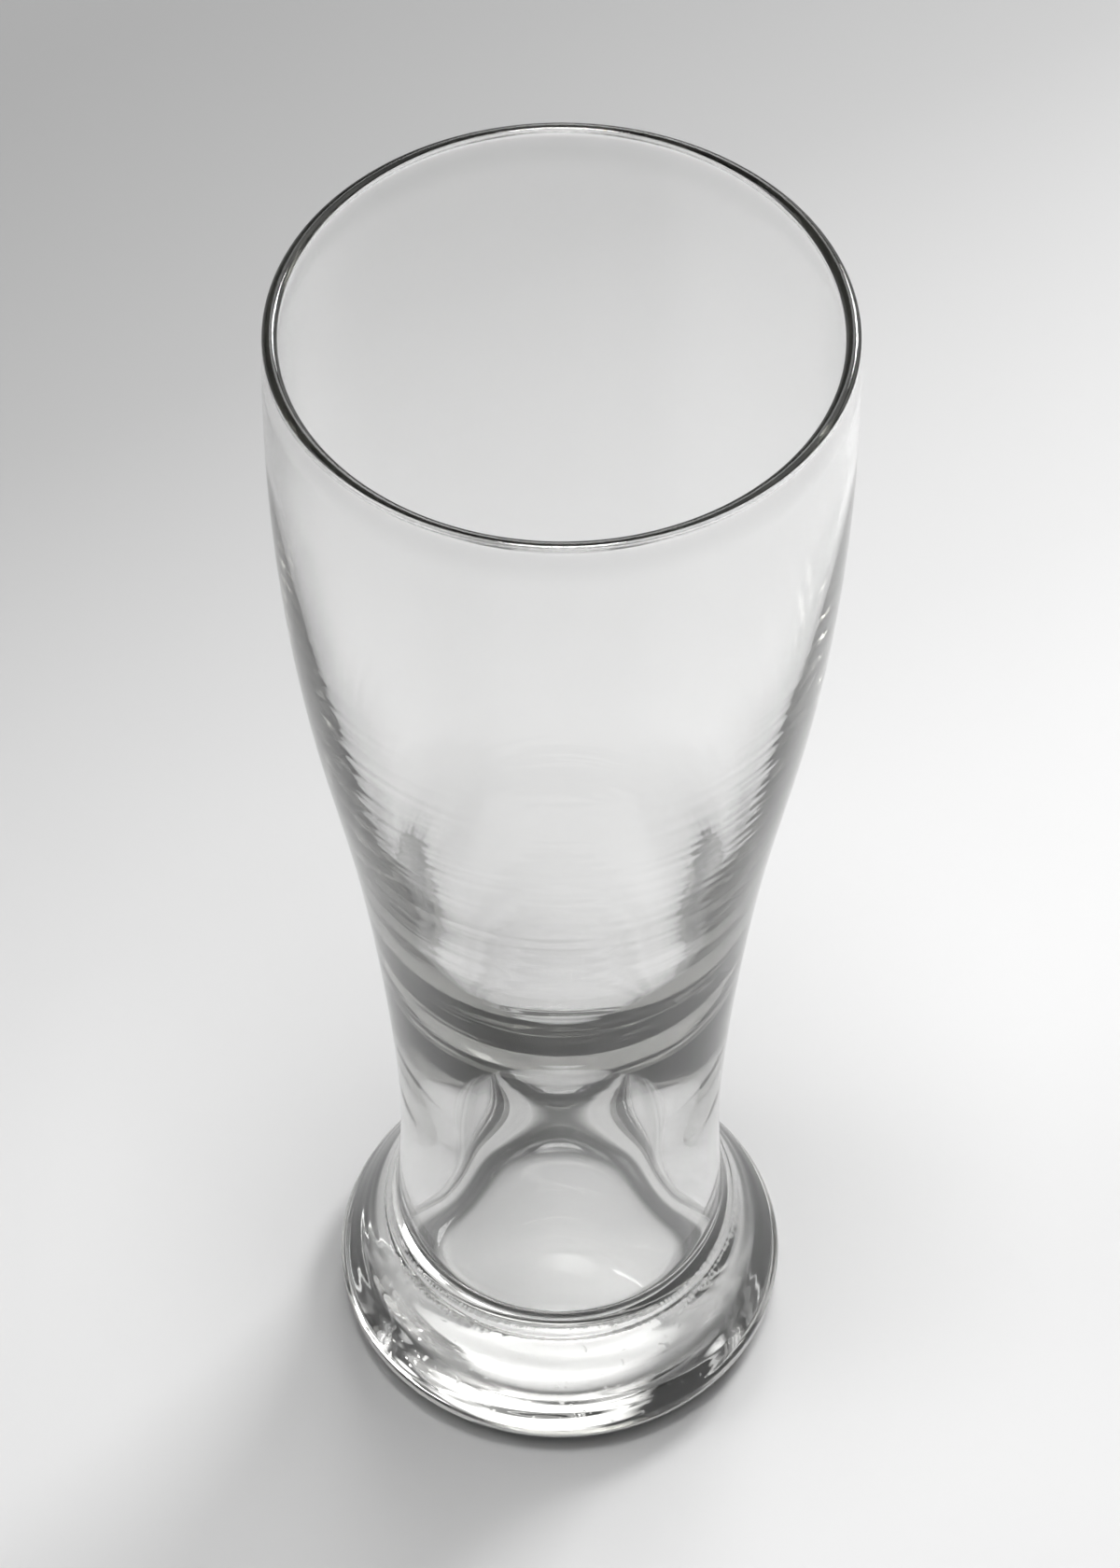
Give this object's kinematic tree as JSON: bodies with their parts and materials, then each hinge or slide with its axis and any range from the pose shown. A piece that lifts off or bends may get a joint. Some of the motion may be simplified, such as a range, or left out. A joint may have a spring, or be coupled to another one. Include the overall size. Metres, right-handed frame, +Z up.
{
  "type": "beer glass",
  "caption": "Tall clear wheat-beer style glass: flared upper bowl, narrow thick-walled waist and heavy rounded foot, open at the top.",
  "frame": {"origin": "centre of the standing ring, on the table", "axes": "+Z up along the glass's axis; +X to the picture's right, +Y away from the camera; the glass is turned, so X and Y are alike"},
  "size_m": [0.084, 0.084, 0.232],
  "materials": {
    "clear_glass": "clear colourless soda-lime glass, fire polished, with slight pressed waves on the foot and fine wear marks"
  },
  "bodies": {
    "root": {"foot": "clear_glass", "bowl": "clear_glass"}
  },
  "joints": []
}
